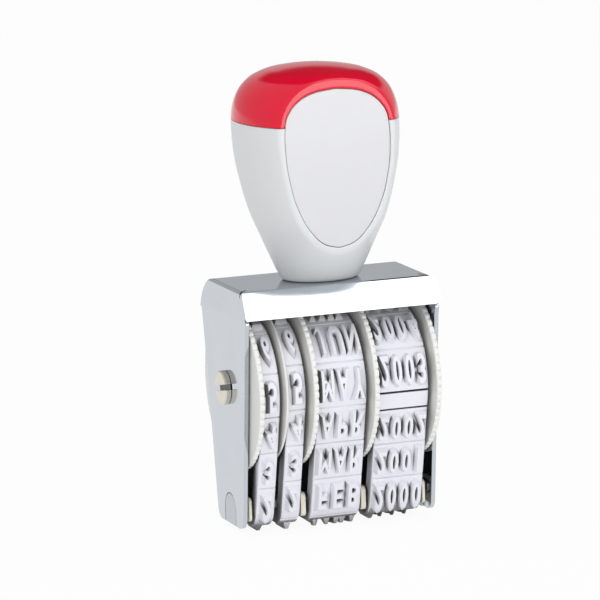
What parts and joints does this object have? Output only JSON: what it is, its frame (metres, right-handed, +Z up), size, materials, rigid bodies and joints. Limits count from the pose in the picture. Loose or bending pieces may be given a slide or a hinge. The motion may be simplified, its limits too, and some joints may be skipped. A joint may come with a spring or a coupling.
{
  "type": "date stamp",
  "caption": "Hand date stamp with a folded steel frame, toothed thumb wheels, rubber date bands over a platen, and a two-colour moulded handle.",
  "frame": {"origin": "middle of the printing face, on the paper, under the middle of the wheel axle", "axes": "+Z up through the handle, +X along the wheel axle towards the year band, -Y is the front"},
  "size_m": [0.036, 0.0282, 0.0769],
  "materials": {
    "nickel_steel": "bright nickel-plated sheet",
    "turned_steel": "turned and nickel plated",
    "zinc_steel": "zinc plated",
    "brass": "turned",
    "wheel_plastic": "moulded, satin",
    "band_rubber": "moulded rubber, matt",
    "guide_plastic": "moulded, satin",
    "white_plastic": "moulded, fine grain",
    "panel_plastic": "moulded, smooth",
    "red_plastic": "moulded, glossy"
  },
  "bodies": {
    "stamp": {"frame": "nickel_steel", "axle": "turned_steel", "axle_nut": "turned_steel", "band_day_tens": "band_rubber", "band_day_units": "band_rubber", "band_month": "band_rubber", "band_year": "band_rubber", "platen": "zinc_steel", "band_guide_1": "guide_plastic", "band_guide_2": "guide_plastic", "band_guide_3": "guide_plastic", "band_guide_4": "guide_plastic", "handle_shell": "white_plastic", "handle_cap": "red_plastic", "face_plate_front": "panel_plastic", "face_plate_rear": "panel_plastic", "handle_screw": "zinc_steel", "handle_washer": "zinc_steel", "handle_insert": "brass"},
    "wheel_1": {"thumb_wheel_1": "wheel_plastic"},
    "wheel_2": {"thumb_wheel_2": "wheel_plastic"},
    "wheel_3": {"thumb_wheel_3": "wheel_plastic"},
    "wheel_4": {"thumb_wheel_4": "wheel_plastic"}
  },
  "joints": [
    {"name": "day_tens_wheel", "type": "hinge", "parent": "stamp", "child": "wheel_1", "pos_m": [0, 0, 0.0242], "axis": [1, 0, 0], "continuous": true},
    {"name": "day_units_wheel", "type": "hinge", "parent": "stamp", "child": "wheel_2", "pos_m": [0, 0, 0.0242], "axis": [1, 0, 0], "continuous": true},
    {"name": "month_wheel", "type": "hinge", "parent": "stamp", "child": "wheel_3", "pos_m": [0, 0, 0.0242], "axis": [1, 0, 0], "continuous": true},
    {"name": "year_wheel", "type": "hinge", "parent": "stamp", "child": "wheel_4", "pos_m": [0, 0, 0.0242], "axis": [1, 0, 0], "continuous": true}
  ]
}
